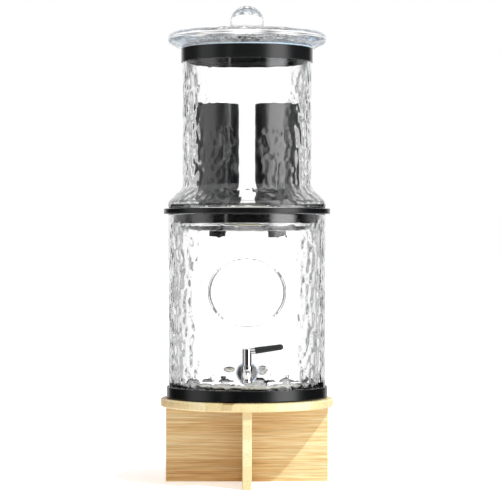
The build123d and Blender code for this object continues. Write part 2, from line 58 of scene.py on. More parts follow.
NOISE, VORONOI = "ShaderNodeTexNoise", "ShaderNodeTexVoronoi"
MATH, VECTOR_MATH = "ShaderNodeMath", "ShaderNodeVectorMath"
MAP_RANGE, MIX, COLOUR_RAMP = "ShaderNodeMapRange", "ShaderNodeMix", "ShaderNodeValToRGB"
PLACE, SEPARATE = "ShaderNodeTexCoord", "ShaderNodeSeparateXYZ"
PRINCIPLED, BUMP, SURFACE = "ShaderNodeBsdfPrincipled", "ShaderNodeBump", "ShaderNodeOutputMaterial"


# ---------------------------------------------------------------------------------------------
# Node and colour helpers
# ---------------------------------------------------------------------------------------------
def srgb(code):
    """Linear colour of an sRGB hex code."""
    channels = [int(code[i:i + 2], 16) / 255 for i in (1, 3, 5)]
    return tuple(c / 12.92 if c <= 0.04045 else ((c + 0.055) / 1.055) ** 2.4 for c in channels) + (1.0,)


def add(tree, kind, *values, sockets=None, stops=(), **settings):
    """Adds a node.  The values go to its first inputs and sockets maps the names or numbers of
    other inputs to theirs; a value may be another node, which stands for its first output, or one
    of its outputs.  Stops are the positions and colours of a colour ramp."""
    node = tree.nodes.new(kind)
    for setting, value in settings.items():
        setattr(node, setting, value)
    for socket, value in (dict(enumerate(values)) | (sockets or {})).items():
        if isinstance(value, bpy.types.Node):
            value = value.outputs[0]
        if isinstance(value, bpy.types.NodeSocket):
            tree.links.new(value, node.inputs[socket])
        else:
            node.inputs[socket].default_value = value
    for _ in stops[2:]:
        node.color_ramp.elements.new(0.5)
    for k, (position, code) in enumerate(stops):
        node.color_ramp.elements[k].position = position
        node.color_ramp.elements[k].color = srgb(code)
    return node


def new_material(name):
    """A material with an empty node tree, and that tree."""
    material = bpy.data.materials.new(name)
    material.use_nodes = True
    material.node_tree.nodes.clear()
    return material, material.node_tree


def in_marks(tree, *sizes):
    """Object coordinates counted in the marks of a pattern.  The size of a mark is in mm, either
    along X, Y and Z or one for all three."""
    sizes = sizes * 3 if len(sizes) == 1 else sizes
    place = add(tree, PLACE).outputs["Object"]
    return add(tree, VECTOR_MATH, place, [1 / (size * MM) for size in sizes], operation="MULTIPLY")


# ---------------------------------------------------------------------------------------------
# Materials
# ---------------------------------------------------------------------------------------------
def pressed_glass():
    """Soda-lime glass, pressed and fire polished: clear, with sharp reflections, and greyed by painted
    shade where the eye grazes it.  Light on its way to what is inside passes straight through."""
    material, tree = new_material("pressed_glass")
    glance = add(tree, "ShaderNodeLayerWeight", sockets={"Blend": 0.5}).outputs["Facing"]
    # painted shade: the glass's colour greys towards the vessels' edges, where the eye grazes it
    tint = add(tree, COLOUR_RAMP, glance, stops=[(0.42, "#ffffff"), (0.7, "#dfe1e1"), (0.95, "#b4b8b8")])
    solid = add(tree, PRINCIPLED, sockets={
        "Base Color": tint, "Roughness": 0.0, "IOR": 1.5, "Transmission Weight": 1.0})
    clear = add(tree, "ShaderNodeBsdfTransparent", sockets={"Color": srgb("#f4f6f6")})
    to_a_lamp = add(tree, "ShaderNodeLightPath").outputs["Is Shadow Ray"]
    add(tree, SURFACE, add(tree, "ShaderNodeMixShader", to_a_lamp, solid, clear))
    return material


def moulded_silicone():
    """Black liquid silicone rubber from a spark-eroded mould: deep black with a satin sheen.  The
    mould's pits only soften the sheen, and smudges from handling break it up."""
    material, tree = new_material("moulded_silicone")
    pit, smudge = 0.0769, 7.143
    pits = add(tree, NOISE, in_marks(tree, pit), sockets={"Scale": 1.0, "Detail": 3.0})
    smudges = add(tree, NOISE, in_marks(tree, smudge), sockets={"Scale": 1.0, "Detail": 4.0})
    rough = add(tree, MAP_RANGE, smudges, 0.0, 1.0, 0.22, 0.30)
    bump = add(tree, BUMP, sockets={"Strength": 0.12, "Distance": 0.1 * MM, "Height": pits})
    add(tree, SURFACE, add(tree, PRINCIPLED, sockets={
        "Base Color": srgb("#060606"), "IOR": 1.43, "Roughness": rough, "Normal": bump}))
    return material


def clear_silicone():
    """Unpigmented silicone rubber: milky and translucent, with a soft sheen."""
    material, tree = new_material("clear_silicone")
    add(tree, SURFACE, add(tree, PRINCIPLED, sockets={
        "Base Color": srgb("#e4e4e6"), "Roughness": 0.35, "IOR": 1.41, "Transmission Weight": 0.35,
        "Subsurface Weight": 0.2, "Subsurface Scale": 2.0 * MM}))
    return material


def moulded_polypropylene():
    """Black polypropylene, injection moulded: near black, with faint flow marks along the draw.
    The mould's grain is too fine to see and only softens the sheen."""
    material, tree = new_material("moulded_polypropylene")
    flow_width, flow_length, mould_grain = 0.9091, 7.692, 0.1111
    flow = add(tree, NOISE, in_marks(tree, flow_width, flow_width, flow_length),
               sockets={"Scale": 1.0, "Detail": 5.0})
    grain = add(tree, NOISE, in_marks(tree, mould_grain), sockets={"Scale": 1.0, "Detail": 2.0})
    tone = add(tree, COLOUR_RAMP, flow, stops=[(0.3, "#060607"), (0.7, "#0e0e0f")])
    rough = add(tree, MAP_RANGE, flow, 0.35, 0.65, 0.36, 0.58)
    bump = add(tree, BUMP, sockets={"Strength": 0.15, "Distance": 0.1 * MM, "Height": grain})
    add(tree, SURFACE, add(tree, PRINCIPLED, sockets={
        "Base Color": tone, "IOR": 1.49, "Roughness": rough, "Normal": bump}))
    return material


def dipped_vinyl():
    """Black PVC sleeve: soft, slightly grey where the light rakes over it.  Its leather grain is too
    fine to see and only softens the sheen."""
    material, tree = new_material("dipped_vinyl")
    leather_grain = 0.2222
    leather = add(tree, NOISE, in_marks(tree, leather_grain), sockets={"Scale": 1.0, "Detail": 4.0})
    rough = add(tree, MAP_RANGE, leather, 0.0, 1.0, 0.42, 0.58)
    bump = add(tree, BUMP, sockets={"Strength": 0.25, "Distance": 0.1 * MM, "Height": leather})
    add(tree, SURFACE, add(tree, PRINCIPLED, sockets={
        "Base Color": srgb("#0b0b0c"), "IOR": 1.46, "Roughness": rough, "Normal": bump,
        "Sheen Weight": 0.05, "Sheen Roughness": 0.4}))
    return material


def carbon_block():
    """Pressed activated carbon: matt black, with granules of a fifth of a millimetre."""
    material, tree = new_material("carbon_block")
    granule = 0.1818
    granules = add(tree, VORONOI, in_marks(tree, granule), sockets={"Scale": 1.0})
    tone = add(tree, COLOUR_RAMP, granules, stops=[(0.0, "#2b2b2b"), (0.8, "#0b0b0b")])
    bump = add(tree, BUMP, sockets={"Strength": 0.6, "Distance": 0.5 * MM, "Height": granules})
    add(tree, SURFACE, add(tree, PRINCIPLED, sockets={
        "Base Color": tone, "Roughness": 0.9, "Normal": bump}))
    return material


def polishing_swirls(tree):
    """Pattern that the buffing wheel leaves on the steel, finest along Z.  The swirls are too fine to
    see one by one and only take the edge off the gloss."""
    swirl_width, swirl_height = 0.5714, 0.125
    return add(tree, NOISE, in_marks(tree, swirl_width, swirl_width, swirl_height),
               sockets={"Scale": 1.0, "Detail": 6.0})


def polished_stainless():
    """Stainless steel 304, cast, turned and polished: mirror bright with faint polishing swirls."""
    material, tree = new_material("polished_stainless")
    rough = add(tree, MAP_RANGE, polishing_swirls(tree), 0.0, 1.0, 0.03, 0.09)
    add(tree, SURFACE, add(tree, PRINCIPLED, sockets={
        "Base Color": srgb("#cfcecd"), "Metallic": 1.0, "Roughness": rough}))
    return material


def turned_stainless(flange_reach):
    """The same steel on the tap's body.  Its flange, which ends at the given reach in metres before
    the filter's axis, keeps the satin face that the lathe leaves, and painted shade darkens its colour."""
    material, tree = new_material("turned_stainless")
    place = add(tree, SEPARATE, add(tree, PLACE).outputs["Object"])
    flange = add(tree, MATH, place.outputs["Y"], -flange_reach, operation="GREATER_THAN")
    swirls = polishing_swirls(tree)
    bright = add(tree, MAP_RANGE, swirls, 0.0, 1.0, 0.03, 0.09)
    satin = add(tree, MAP_RANGE, swirls, 0.0, 1.0, 0.3, 0.42)
    rough = add(tree, MIX, flange, sockets={2: bright, 3: satin}, data_type="FLOAT")
    # painted shade: the flange's steel colour is darkened to a dim grey
    tone = add(tree, MIX, flange, sockets={6: srgb("#cfcecd"), 7: srgb("#525151")}, data_type="RGBA")
    add(tree, SURFACE, add(tree, PRINCIPLED, sockets={
        "Base Color": tone.outputs[2], "Metallic": 1.0, "Roughness": rough}))
    return material


def varnished_bamboo(name, grain_axis, stack_axis, strip):
    """Laminated bamboo under satin varnish: strips lie side by side along the stack axis, each with
    its own tone, and fine fibres with darker bundles run along the grain.  Sawn ends show little
    grain and are pale."""
    material, tree = new_material(name)
    seam_shift = 40.35  # in strips: keeps the numbers above 0 and the seams off the piece's middle
    place = add(tree, SEPARATE, add(tree, PLACE).outputs["Object"])
    strips = add(tree, MATH, place.outputs[stack_axis], 1 / (strip * MM), seam_shift,
                 operation="MULTIPLY_ADD")
    tone = add(tree, "ShaderNodeTexWhiteNoise", noise_dimensions="1D",
               sockets={"W": add(tree, MATH, strips, operation="FLOOR")})
    own_patch = add(tree, MATH, tone, 13.0, operation="MULTIPLY")

    def grain(width, length, **look):
        """Noise drawn out along the grain: the width and length of a mark are in mm."""
        sizes = [width] * 3
        sizes[grain_axis] = length
        return add(tree, NOISE, in_marks(tree, *sizes), noise_dimensions="4D",
                   sockets={"W": own_patch, "Scale": 1.0} | look)

    fibres = grain(1.25, 66.67, Detail=3.0, Roughness=0.7)
    bundles = grain(2.778, 125.0, Detail=2.0, Distortion=0.5)
    clouds = grain(16.67, 111.1, Detail=2.0)
    facing = add(tree, SEPARATE, add(tree, "ShaderNodeNewGeometry").outputs["Normal"])
    sawn_end = add(tree, MATH, facing.outputs[grain_axis], operation="ABSOLUTE")

    mixed = add(tree, MATH, bundles, 0.23, operation="MULTIPLY")
    mixed = add(tree, MATH, clouds, 0.12, mixed, operation="MULTIPLY_ADD")
    mixed = add(tree, MATH, fibres, 0.65, mixed, operation="MULTIPLY_ADD")
    contrast = add(tree, MATH, sawn_end, -0.75, 1.0, operation="MULTIPLY_ADD")
    level = add(tree, MATH, add(tree, MATH, mixed, 0.5, operation="SUBTRACT"), contrast,
                operation="MULTIPLY")
    level = add(tree, MATH, tone, 0.08, level, operation="MULTIPLY_ADD")
    level = add(tree, MATH, sawn_end, 0.05, level, operation="MULTIPLY_ADD")
    colour = add(tree, COLOUR_RAMP, add(tree, MATH, level, 0.47, operation="ADD"),
                 stops=[(0.36, "#b98549"), (0.46, "#d8ab6b"), (0.56, "#eac98f"), (0.68, "#f4dfb2")])
    dark_bundles = add(tree, MAP_RANGE, bundles, 0.56, 0.68, 1.0, 0.8)
    from_seam = add(tree, MATH, strips, 0.5, operation="PINGPONG")
    dark_seams = add(tree, MAP_RANGE, from_seam, 0.0, 0.025, 0.86, 1.0)
    marks = add(tree, MATH, dark_bundles, dark_seams, operation="MULTIPLY")
    marked = add(tree, MIX, 1.0, sockets={6: colour, 7: marks}, data_type="RGBA", blend_type="MULTIPLY")

    rough = add(tree, MAP_RANGE, fibres, 0.0, 1.0, 0.36, 0.52)
    bump = add(tree, BUMP, sockets={"Strength": 0.15, "Distance": 0.2 * MM, "Height": fibres})
    add(tree, SURFACE, add(tree, PRINCIPLED, sockets={
        "Base Color": marked.outputs[2], "IOR": 1.5, "Roughness": rough, "Normal": bump,
        "Coat Weight": 0.15, "Coat Roughness": 0.3}))
    return material


glass = pressed_glass()
flange_past_washer = 6.0 * MM
finish_of_slot = {
    "black_silicone": moulded_silicone(),
    "clear_silicone": clear_silicone(),
    "black_plastic": moulded_polypropylene(),
    "carbon": carbon_block(),
    "stainless": polished_stainless(),
    "glass": glass,
}
finish_of_node = {
    "stand_plate": varnished_bamboo("bamboo_plate", Y, X, strip=24.0),
    "cross_board_side": varnished_bamboo("bamboo_side_board", X, Z, strip=19.0),
    "cross_board_front": varnished_bamboo("bamboo_front_board", Y, Z, strip=19.0),
    "tap_grip": dipped_vinyl(),
    "tap_body": turned_stainless(-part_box("tap_outer_washer")[0].y + flange_past_washer),
}
for subpart in frame["record"]["subparts"]:
    node_name = subpart["node"]
    finish = finish_of_node.get(node_name) or finish_of_slot[subpart["material_slot"]]
    materials = nodes[node_name].data.materials
    materials.clear()
    materials.append(finish)


# ---------------------------------------------------------------------------------------------
# Revolved glass with hammer marks
# ---------------------------------------------------------------------------------------------
def rounded_profile(corners):
    """Points of a profile in mm.  A corner is (radius, height, rounding, step): the corner becomes
    an arc of that radius, and the straight run after it is divided at about the step."""
    arc_step = math.radians(11)
    places = [Vector(corner[:2]) for corner in corners]
    arcs = [[places[0]]]
    for before, here, after, corner in zip(places, places[1:], places[2:], corners[1:]):
        rounding = corner[2]
        if not rounding:
            arcs.append([here])
            continue
        back, ahead = (before - here).normalized(), (after - here).normalized()
        half = back.angle(ahead) / 2
        centre = here + (back + ahead).normalized() * (rounding / math.sin(half))
        spoke = here + back * (rounding / math.tan(half)) - centre
        turn = math.copysign(math.pi - 2 * half, back.y * ahead.x - back.x * ahead.y)
        count = max(2, math.ceil(abs(turn) / arc_step))
        arcs.append([centre + Vector((spoke.x * math.cos(angle) - spoke.y * math.sin(angle),
                                      spoke.x * math.sin(angle) + spoke.y * math.cos(angle)))
                     for angle in (turn * k / count for k in range(count + 1))])
    arcs.append([places[-1]])
    points = []
    for arc, following, corner in zip(arcs, arcs[1:], corners):
        count = max(1, round((following[0] - arc[-1]).length / corner[3]))
        points += arc + [arc[-1].lerp(following[0], k / count) for k in range(1, count)]
    return np.array([tuple(point) for point in points + arcs[-1]])


def even_turns(count):
    """Angles of the columns of a revolved mesh, evenly round."""
    return np.radians(np.linspace(0, 360, count, endpoint=False))


def turns_dense_in_front(count, half_width, step):
    """Angles of the columns of a revolved mesh: on the front, within the half width in degrees,
    they stand at the step in degrees, and the rest of the round is divided into the count."""
    front = -90.0
    dense = np.arange(front - half_width, front + half_width, step)
    rest = np.linspace(front + half_width, front + 360 - half_width, count, endpoint=False)
    return np.radians(np.concatenate([dense, rest]))


def revolved(name, profile, angles):
    """Closed body of revolution about Z.  The profile starts and ends on the axis and runs
    outwards along the bottom, so its faces point out."""
    rows, columns = len(profile) - 2, len(angles)
    ring = profile[1:-1] * MM
    radius = ring[:, 0][:, None]
    points = np.stack([radius * np.cos(angles), radius * np.sin(angles),
                       np.repeat(ring[:, 1][:, None], columns, axis=1)], axis=-1).reshape(-1, 3)
    points = np.vstack([points, [[0, 0, profile[0, 1] * MM], [0, 0, profile[-1, 1] * MM]]])
    low_pole, high_pole = rows * columns, rows * columns + 1
    index = np.arange(rows * columns).reshape(rows, columns)
    after = np.roll(index, -1, axis=1)
    quads = np.stack([index[:-1], after[:-1], after[1:], index[1:]], axis=-1).reshape(-1, 4).tolist()
    fans = [(low_pole, int(after[0, k]), int(index[0, k])) for k in range(columns)]
    fans += [(high_pole, int(index[-1, k]), int(after[-1, k])) for k in range(columns)]
    mesh = bpy.data.meshes.new(name)
    mesh.from_pydata(points.tolist(), [], quads + fans)
    piece = bpy.data.objects.new(name, mesh)
    scene.collection.objects.link(piece)
    return piece


def places_of(piece):
    """Vertex places of a mesh object in mm, their distances from the axis and their heights."""
    flat = np.empty(len(piece.data.vertices) * 3, np.float32)
    piece.data.vertices.foreach_get("co", flat)
    places = flat.reshape(-1, 3).astype(float) / MM
    return places, np.hypot(places[:, 0], places[:, 1]), places[:, 2]


def rise(value, start, end):
    """Smooth step from 0 at start to 1 at end; it falls where end is below start."""
    t = np.clip((value - start) / (end - start), 0, 1)
    return t * t * (3 - 2 * t)


def calmer_front(places, radii, low, middle):
    """Share of the marks' depth.  The moulds press the front and the back of a vessel less than its
    sides, so that one sees in: low is the share there, middle the one just under half way out to
    the side, and beyond that it goes to full depth and a little back at the very side."""
    aside = np.abs(places[:, 0]) / radii.clip(1)
    return np.interp(aside, [0.15, 0.3, 0.45, 0.8, 1.0], [low, middle * 0.8, middle, 1.0, 0.8])


def hammer_tree():
    """Geometry nodes that press hammer marks into a surface: every Voronoi cell becomes a shallow
    dish, and the ridges between stay at the surface's own level."""
    tree = bpy.data.node_groups.new("hammer_marks", "GeometryNodeTree")
    for name, kind in (("Geometry", "Geometry"), ("Mark size", "Vector"), ("Depth", "Float"),
                       ("Shift", "Vector"), ("Glass", "Material")):
        tree.interface.new_socket(name, in_out="INPUT", socket_type=f"NodeSocket{kind}")
    tree.interface.new_socket("Geometry", in_out="OUTPUT", socket_type="NodeSocketGeometry")
    given = add(tree, "NodeGroupInput").outputs
    place = add(tree, "GeometryNodeInputPosition")
    normal = add(tree, "GeometryNodeInputNormal")
    share = add(tree, "GeometryNodeInputNamedAttribute", "hammer", data_type="FLOAT")

    waves_per_metre, sway = 45.0, 6.0 * MM
    wander = add(tree, NOISE, place, sockets={"Scale": waves_per_metre, "Detail": 1.0})
    bent = add(tree, VECTOR_MATH, wander.outputs["Color"], (sway,) * 3, place, operation="MULTIPLY_ADD")
    cells = add(tree, VECTOR_MATH, bent, given["Mark size"], operation="DIVIDE")
    moved = add(tree, VECTOR_MATH, cells, given["Shift"], operation="ADD")
    marks = add(tree, VORONOI, moved, feature="SMOOTH_F1",
                sockets={"Scale": 1.0, "Smoothness": 0.25, "Randomness": 0.9})
    dish_width = 1.35
    out = add(tree, MATH, marks, dish_width, operation="MULTIPLY")
    squared = add(tree, MATH, out, 2.0, operation="POWER")
    level = add(tree, MATH, add(tree, MATH, squared, 1.0, operation="MINIMUM"), 1.0,
                operation="SUBTRACT")
    depth = add(tree, MATH, level, given["Depth"], operation="MULTIPLY")
    depth = add(tree, MATH, depth, share, operation="MULTIPLY")
    offset = add(tree, VECTOR_MATH, normal, sockets={"Scale": depth}, operation="SCALE")

    pressed = add(tree, "GeometryNodeSetPosition", given["Geometry"], sockets={"Offset": offset})
    smooth = add(tree, "GeometryNodeSetShadeSmooth", pressed)
    real = add(tree, "GeometryNodeRealizeInstances", smooth)
    clad = add(tree, "GeometryNodeSetMaterial", real, sockets={"Material": given["Glass"]})
    add(tree, "NodeGroupOutput", clad)
    return tree


hammer_marks = hammer_tree()


def drill(name, radius, start, end):
    """Cylinder between two places in mm, for hammered() to cut out of a piece and remove."""
    start, end = Vector(start) * MM, Vector(end) * MM
    sides = 48
    turn = (end - start).to_track_quat("Z", "Y")
    angles = [2 * math.pi * k / sides for k in range(sides)]
    rims = [base + turn @ Vector((math.cos(angle), math.sin(angle), 0)) * radius * MM
            for base in (start, end) for angle in angles]
    faces = [tuple(reversed(range(sides))), tuple(range(sides, 2 * sides))]
    faces += [(k, (k + 1) % sides, sides + (k + 1) % sides, sides + k) for k in range(sides)]
    mesh = bpy.data.meshes.new(name)
    mesh.from_pydata([tuple(p) for p in rims], [], faces)
    cutter = bpy.data.objects.new(name, mesh)
    scene.collection.objects.link(cutter)
    return cutter


def hammered(piece, share, mark_size, depth, shift, holes=()):
    """Presses the marks in where share is above 0, drills the holes and makes the result a plain
    mesh.  The size and the depth of the marks are in mm; shift picks a patch of the pattern."""
    attribute = piece.data.attributes.new("hammer", "FLOAT", "POINT")
    attribute.data.foreach_set("value", share.astype(np.float32))
    modifier = piece.modifiers.new("hammer_marks", "NODES")
    modifier.node_group = hammer_marks
    values = {"Mark size": [size * MM for size in mark_size], "Depth": depth * MM,
              "Shift": shift, "Glass": glass}
    for item in hammer_marks.interface.items_tree:
        if item.in_out == "INPUT" and item.name in values:
            modifier[item.identifier] = values[item.name]
    for cutter in holes:
        cut = piece.modifiers.new(cutter.name, "BOOLEAN")
        cut.operation = "DIFFERENCE"
        cut.solver = "MANIFOLD"
        cut.object = cutter
    graph = bpy.context.evaluated_depsgraph_get()
    plain = bpy.data.meshes.new_from_object(piece.evaluated_get(graph))
    plain.name = piece.name
    piece.modifiers.clear()
    piece.data = plain
    for cutter in holes:
        bpy.data.objects.remove(cutter)
    plain.attributes.remove(plain.attributes["hammer"])
    plain.set_sharp_from_angle(angle=math.radians(50))
    return piece


vessel_wall = 5.0


def hammered_tank():
    """The tank: a heavy base in the boot, a straight hammered wall with a raised oval ring on its
    front, the tap's hole, and a hollow scooped out of the wall on either side of the tap."""
    base, heel_round, corner_round, rim_round = 14.0, 6.0, 8.0, 2.0
    punt_radius, punt_depth = 86.0, 1.5
    ring_half_width, ring_half_height, ring_bar, ring_relief = 53.0, 47.6, 2.6, 1.2
    ring_height, tap_hole_radius = 149.0, 8.6
    # of each scoop: place beside the tap's axis, place above it, half width and half height
    scoops, scoop_depth, scoop_brow = ((-24.3, 4.7, 7.0, 3.6), (20.9, 3.7, 6.2, 6.2)), 3.2, 1.6

    low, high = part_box("lower_jar")
    radius, bottom, top = high.x / MM, low.z / MM, high.z / MM
    inner_radius, floor, ring_level = radius - vessel_wall, bottom + base, bottom + ring_height
    boot_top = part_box("base_boot")[1].z / MM
    washer_low, washer_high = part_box("tap_outer_washer")
    tap_level = (washer_low.z + washer_high.z) / 2 / MM
    # the wall's points stand closest up to the tap, and closer up to the ring's top than above it
    profile = rounded_profile([
        (0, bottom + punt_depth, 0, 30), (punt_radius, bottom + punt_depth, 0, 5),
        (punt_radius + punt_depth, bottom, 0, 8), (radius, bottom, heel_round, 0.8),
        (radius, tap_level + 12, 0, 1.6), (radius, ring_level + 50, 0, 1.8), (radius, top, rim_round, 2),
        (inner_radius, top, rim_round, 24), (inner_radius, floor, corner_round, 2.4), (0, floor, 0, 1)])
    piece = revolved("tank_glass", profile, turns_dense_in_front(250, half_width=31.0, step=0.6))
    places, radii, height = places_of(piece)
    outside, front = radii > radius - 0.01, places[:, 1] < 0

    # the ring's bead stands out of the wall; from_ring is the distance to the middle of its bar
    a, b = ring_half_width - ring_bar / 2, ring_half_height - ring_bar / 2
    across, up = places[:, 0] / a, (height - ring_level) / b
    around = np.maximum(np.hypot(across, up), 1e-6)
    from_ring = (around - 1) * around / np.hypot(across / a, up / b)
    bead = ring_relief * (1 - rise(np.abs(from_ring), ring_bar * 0.2, ring_bar * 0.62))
    bead = np.where(front & outside, bead, 0)

    # a scoop falls away steeply under its upper edge, the brow, and runs out gently at the bottom
    out_of_reach = 9.0
    from_scoop, scooped = np.full(len(places), out_of_reach), np.zeros(len(places))
    for scoop_x, scoop_rise, half_width, half_height in scoops:
        aside, above = (places[:, 0] - scoop_x) / half_width, (height - tap_level - scoop_rise) / half_height
        away = np.where(front, np.hypot(aside, above), out_of_reach)
        chord = np.sqrt((1 - aside ** 2).clip(1e-6))
        down = ((chord - above) / (2 * chord)).clip(0, 1)
        hollow = chord ** 0.5 * np.interp(down, [0, scoop_brow / half_height / 2, 1], [0, scoop_depth, 0])
        scooped = np.where(outside & (away < 1), hollow, scooped)
        from_scoop = np.minimum(from_scoop, away)

    # no marks on and round the ring, the tap's flange and the scoops; full marks close to the boot
    from_tap = np.hypot(places[:, 0], height - tap_level)
    bare = rise(from_ring, 2, 12) * rise(from_tap, 16, 20) * rise(from_scoop, 1, 1.5)
    wall_share = outside * rise(height, boot_top - 2, boot_top + 2) * rise(height, top - 4, top - 16)
    wall_share = wall_share * np.where(front, bare, 1) * np.maximum(
        calmer_front(places, radii, low=0.1, middle=0.4), rise(height, boot_top + 13, boot_top + 9))
    on_floor = (radii < inner_radius + 0.1) & (height > floor - 0.1)
    floor_share = 1.6 * on_floor * rise(height, floor + 12, floor + 7)

    places[:, :2] *= (1 + (bead - scooped) / radii.clip(1))[:, None]
    piece.data.vertices.foreach_set("co", (places * MM).astype(np.float32).ravel())
    piece.data.update()
    hole = drill("tap_hole", tap_hole_radius, (0, -inner_radius + 6, tap_level), (0, -radius - 6, tap_level))
    return hammered(piece, wall_share + floor_share, mark_size=(10.5, 10.5, 14.0), depth=0.95,
                    shift=(3.1, 0.4, 7.7), holes=[hole])


def hammered_chamber():
    """The filter chamber: a stepped floor that drops into the tank, a foot, a shoulder and a
    straight wall.  The marks are deep in front of the elements, and both sides of the wall have
    them there."""
    foot_round, knee_round, shoulder_round, rim_round = 4.0, 12.0, 12.0, 2.0
    shoulder_width, knee_height, shoulder_height = 20.6, 9.5, 29.4
    step_radius, step_wall, step_floor, step_round, step_inner_round = 99.9, 7.5, 8.0, 9.0, 7.0
    pocket_floor, pocket_round, inner_knee_round, inner_shoulder_round = 4.0, 1.6, 4.0, 17.0
    slant_drop = 2.1  # the inside of knee and shoulder is this much lower than the outside
    element_radius, stem_hole_radius = 30.0, 6.3
    deep_below, calm_above = 484.0, 500.0

    low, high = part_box("upper_vessel")
    step_level, rim_level, foot_radius = low.z / MM, high.z / MM, high.x / MM
    radius = foot_radius - shoulder_width
    inner_radius, inner_foot_radius = radius - vessel_wall, foot_radius - vessel_wall
    collar_low, collar_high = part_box("divider_collar")
    foot_level, skirt_level = collar_high.z / MM, collar_low.z / MM
    band_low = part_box("rim_band")[0].z / MM
    knee, shoulder = foot_level + knee_height, foot_level + shoulder_height
    element_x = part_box("right_element_shell")[0].x / MM + element_radius
    profile = rounded_profile([
        (0, step_level, 0, 12), (step_radius, step_level, step_round, 1.5),
        (step_radius, foot_level, 0, 4), (foot_radius, foot_level, foot_round, 1.5),
        (foot_radius, knee, knee_round, 1.5), (radius, shoulder, shoulder_round, 1.9),
        (radius, rim_level, rim_round, 2), (inner_radius, rim_level, rim_round, 4),
        (inner_radius, shoulder - slant_drop, inner_shoulder_round, 4),
        (inner_foot_radius, knee - slant_drop, inner_knee_round, 4),
        (inner_foot_radius, foot_level + pocket_floor, pocket_round, 4),
        (step_radius - step_wall, foot_level + pocket_floor, pocket_round, 4),
        (step_radius - step_wall, step_level + step_floor, step_inner_round, 12),
        (0, step_level + step_floor, 0, 1)])
    piece = revolved("chamber_glass", profile, even_turns(330))
    places, radii, height = places_of(piece)
    wall_at = np.interp(height, [foot_level + pocket_floor, knee, shoulder, rim_level],
                        [foot_radius, foot_radius, radius, radius])

    # the outside: calm under the band, deep before the elements, and foot and shoulder nearly full
    deep = rise(height, calm_above, deep_below)
    calm_front = calmer_front(places, radii, low=0.05, middle=0.2)
    deep_front = calmer_front(places, radii, low=0.06, middle=2.0)
    front_share = (calm_front * (1 - deep) + deep_front * deep) * rise(height, band_low - 6, band_low - 30)
    outside = (radii > wall_at - vessel_wall + 0.8) & (height > foot_level + 0.5)
    share = outside * rise(height, foot_level + 0.5, foot_level + 3)
    share = share * rise(height, band_low - 0.5, band_low - 18)
    share = share * np.maximum(front_share, 0.8 * rise(height, shoulder + 6, shoulder - 4))

    # the step's outside has marks below the collar's skirt, and its flat bottom only near the edge
    step_outside = (height < min(skirt_level, step_level + step_floor - 0.1)) & (radii < step_radius + 0.01)
    below = step_outside * rise(height, skirt_level - 0.5, skirt_level - 3) * rise(radii, 74, 84)

    # the wall's inside ripples before the elements, and hardly in the middle of front and back
    aside = np.abs(places[:, 0]) / radii.clip(1)
    inside = (np.abs(wall_at - radii - vessel_wall) < 0.2) & (height > shoulder + 8)
    ripple = inside * rise(height, shoulder + 10, shoulder + 20) * rise(height, band_low - 4, band_low - 28)
    ripple = ripple * deep * np.interp(aside, [0.2, 0.35, 0.8, 1.0], [0.03, 0.6, 0.6, 0.3])

    holes = [drill(f"stem_hole_{side}", stem_hole_radius, (x, 0, step_level - 4), (x, 0, step_level + 12))
             for side, x in (("left", -element_x), ("right", element_x))]
    return hammered(piece, share + below + ripple, mark_size=(10.0, 10.0, 13.5), depth=0.9,
                    shift=(0.6, 5.2, 1.3), holes=holes)


def hammered_lid():
    """The lid: a plug ring that drops into the rim, a thick hammered edge, a shallow dish and a
    ball knob on a short neck."""
    plug_inner, plug_outer, seat_radius = 74.0, 82.35, 99.0
    dish_radius, crown_radius, dish_floor = 92.0, 104.0, 7.0
    knob_radius, neck_round, edge_round, small_round = 24.0, 4.0, 6.0, 2.0
    calm_radius, top_share = 93.0, 0.7

    low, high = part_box("lid")
    bottom, top, radius = low.z / MM, high.z / MM, high.x / MM
    seat = bottom + 6.0
    edge_low, edge_high, crown, dish = seat + 6.5, seat + 18.5, seat + 21.1, seat + 16.5
    knob_level, neck_level = top - knob_radius, dish + neck_round
    neck_radius = math.sqrt((knob_radius + neck_round) ** 2 - (knob_level - neck_level) ** 2)
    body = rounded_profile([
        (0, dish - dish_floor, 0, 9), (plug_inner, dish - dish_floor, small_round, 2),
        (plug_inner, bottom, small_round, 2), (plug_outer, bottom, small_round, 2),
        (plug_outer, seat, 0, 1.5), (seat_radius, seat, small_round, 1.4),
        (radius, edge_low, edge_round, 1.4), (radius, edge_high, edge_round, 1.4),
        (crown_radius, crown, 3, 1.4), (dish_radius, dish, edge_round, 4), (neck_radius, dish, 0, 1)])
    neck_end = math.atan2(knob_level - neck_level, -neck_radius) - 2 * math.pi
    neck = [(neck_radius + neck_round * math.cos(t), neck_level + neck_round * math.sin(t))
            for t in np.linspace(-math.pi / 2, neck_end, 9)[1:]]
    ball_start = math.atan2(neck_level - knob_level, neck_radius)
    ball = [(knob_radius * math.cos(t), knob_level + knob_radius * math.sin(t))
            for t in np.linspace(ball_start, math.pi / 2, 44)[1:]]
    piece = revolved("lid_glass", np.vstack([body, neck, ball]), even_turns(360))

    _, radii, height = places_of(piece)
    under = (height > seat - 0.1) & (height < seat + 9)
    over = height > dish + 0.3
    share = under * rise(radii, calm_radius + 0.5, seat_radius)
    share = share + top_share * over * rise(radii, calm_radius, seat_radius)
    return hammered(piece, share, mark_size=(10.0, 10.0, 8.0), depth=1.3, shift=(2.2, 9.1, 4.4))


for piece, node_name, body in ((hammered_tank(), "lower_jar", "tank"),
                               (hammered_chamber(), "upper_vessel", "chamber"),
                               (hammered_lid(), "lid", "lid")):
    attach(piece, body)
    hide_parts(node_name)


